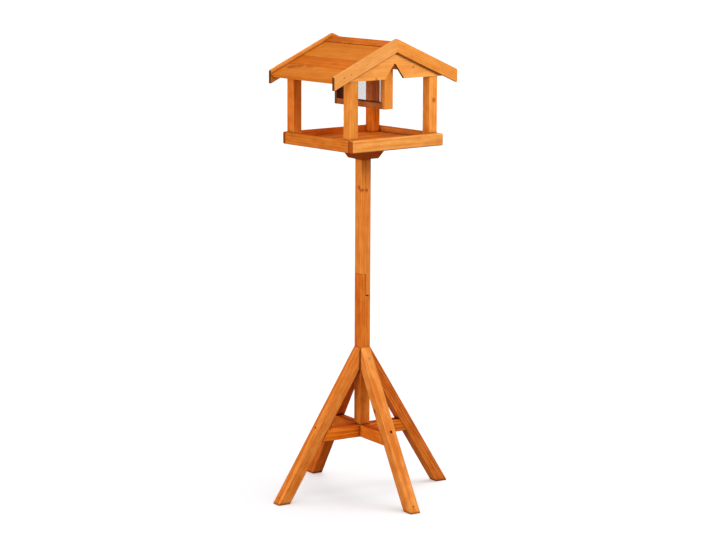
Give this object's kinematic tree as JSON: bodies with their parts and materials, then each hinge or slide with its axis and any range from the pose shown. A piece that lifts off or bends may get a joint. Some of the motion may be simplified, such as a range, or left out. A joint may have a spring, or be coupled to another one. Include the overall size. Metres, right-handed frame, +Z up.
{
  "type": "bird table",
  "caption": "Wooden bird table: gabled roof on corner posts over a railed feeding tray, a slim clear-sided seed silo under the ridge, and a square pole on four raking legs.",
  "frame": {"origin": "on the floor under the axis of the pole, at the centre of the footprint", "axes": "+Z up; the front gable faces -Y and the ridge runs along Y; +X to the right as seen from the front"},
  "size_m": [0.5142, 0.5142, 1.18],
  "materials": {
    "stained_pine": "pine, honey-orange stain under a satin varnish",
    "clear_acrylic": "clear acrylic sheet, polished"
  },
  "bodies": {
    "root": {"leg_left": "stained_pine", "leg_right": "stained_pine", "leg_front": "stained_pine", "leg_back": "stained_pine", "cross_bar_side": "stained_pine", "cross_bar_front": "stained_pine", "pole_lower": "stained_pine", "pole_upper": "stained_pine", "socket_block": "stained_pine", "tray_floor": "stained_pine", "tray_rail_front": "stained_pine", "tray_rail_back": "stained_pine", "tray_rail_left": "stained_pine", "tray_rail_right": "stained_pine", "post_front_left": "stained_pine", "post_front_right": "stained_pine", "post_back_left": "stained_pine", "post_back_right": "stained_pine", "gable_front": "stained_pine", "gable_back": "stained_pine", "bargeboard_front_left": "stained_pine", "bargeboard_front_right": "stained_pine", "bargeboard_back_left": "stained_pine", "bargeboard_back_right": "stained_pine", "ridge_plank_left": "stained_pine", "ridge_plank_right": "stained_pine", "upper_plank_left": "stained_pine", "upper_plank_right": "stained_pine", "middle_plank_left": "stained_pine", "middle_plank_right": "stained_pine", "eave_plank_left": "stained_pine", "eave_plank_right": "stained_pine", "silo_end_front": "stained_pine", "silo_end_back": "stained_pine", "silo_rail_left": "stained_pine", "silo_rail_right": "stained_pine", "silo_base": "stained_pine", "silo_window_left": "clear_acrylic", "silo_window_right": "clear_acrylic"}
  },
  "joints": []
}
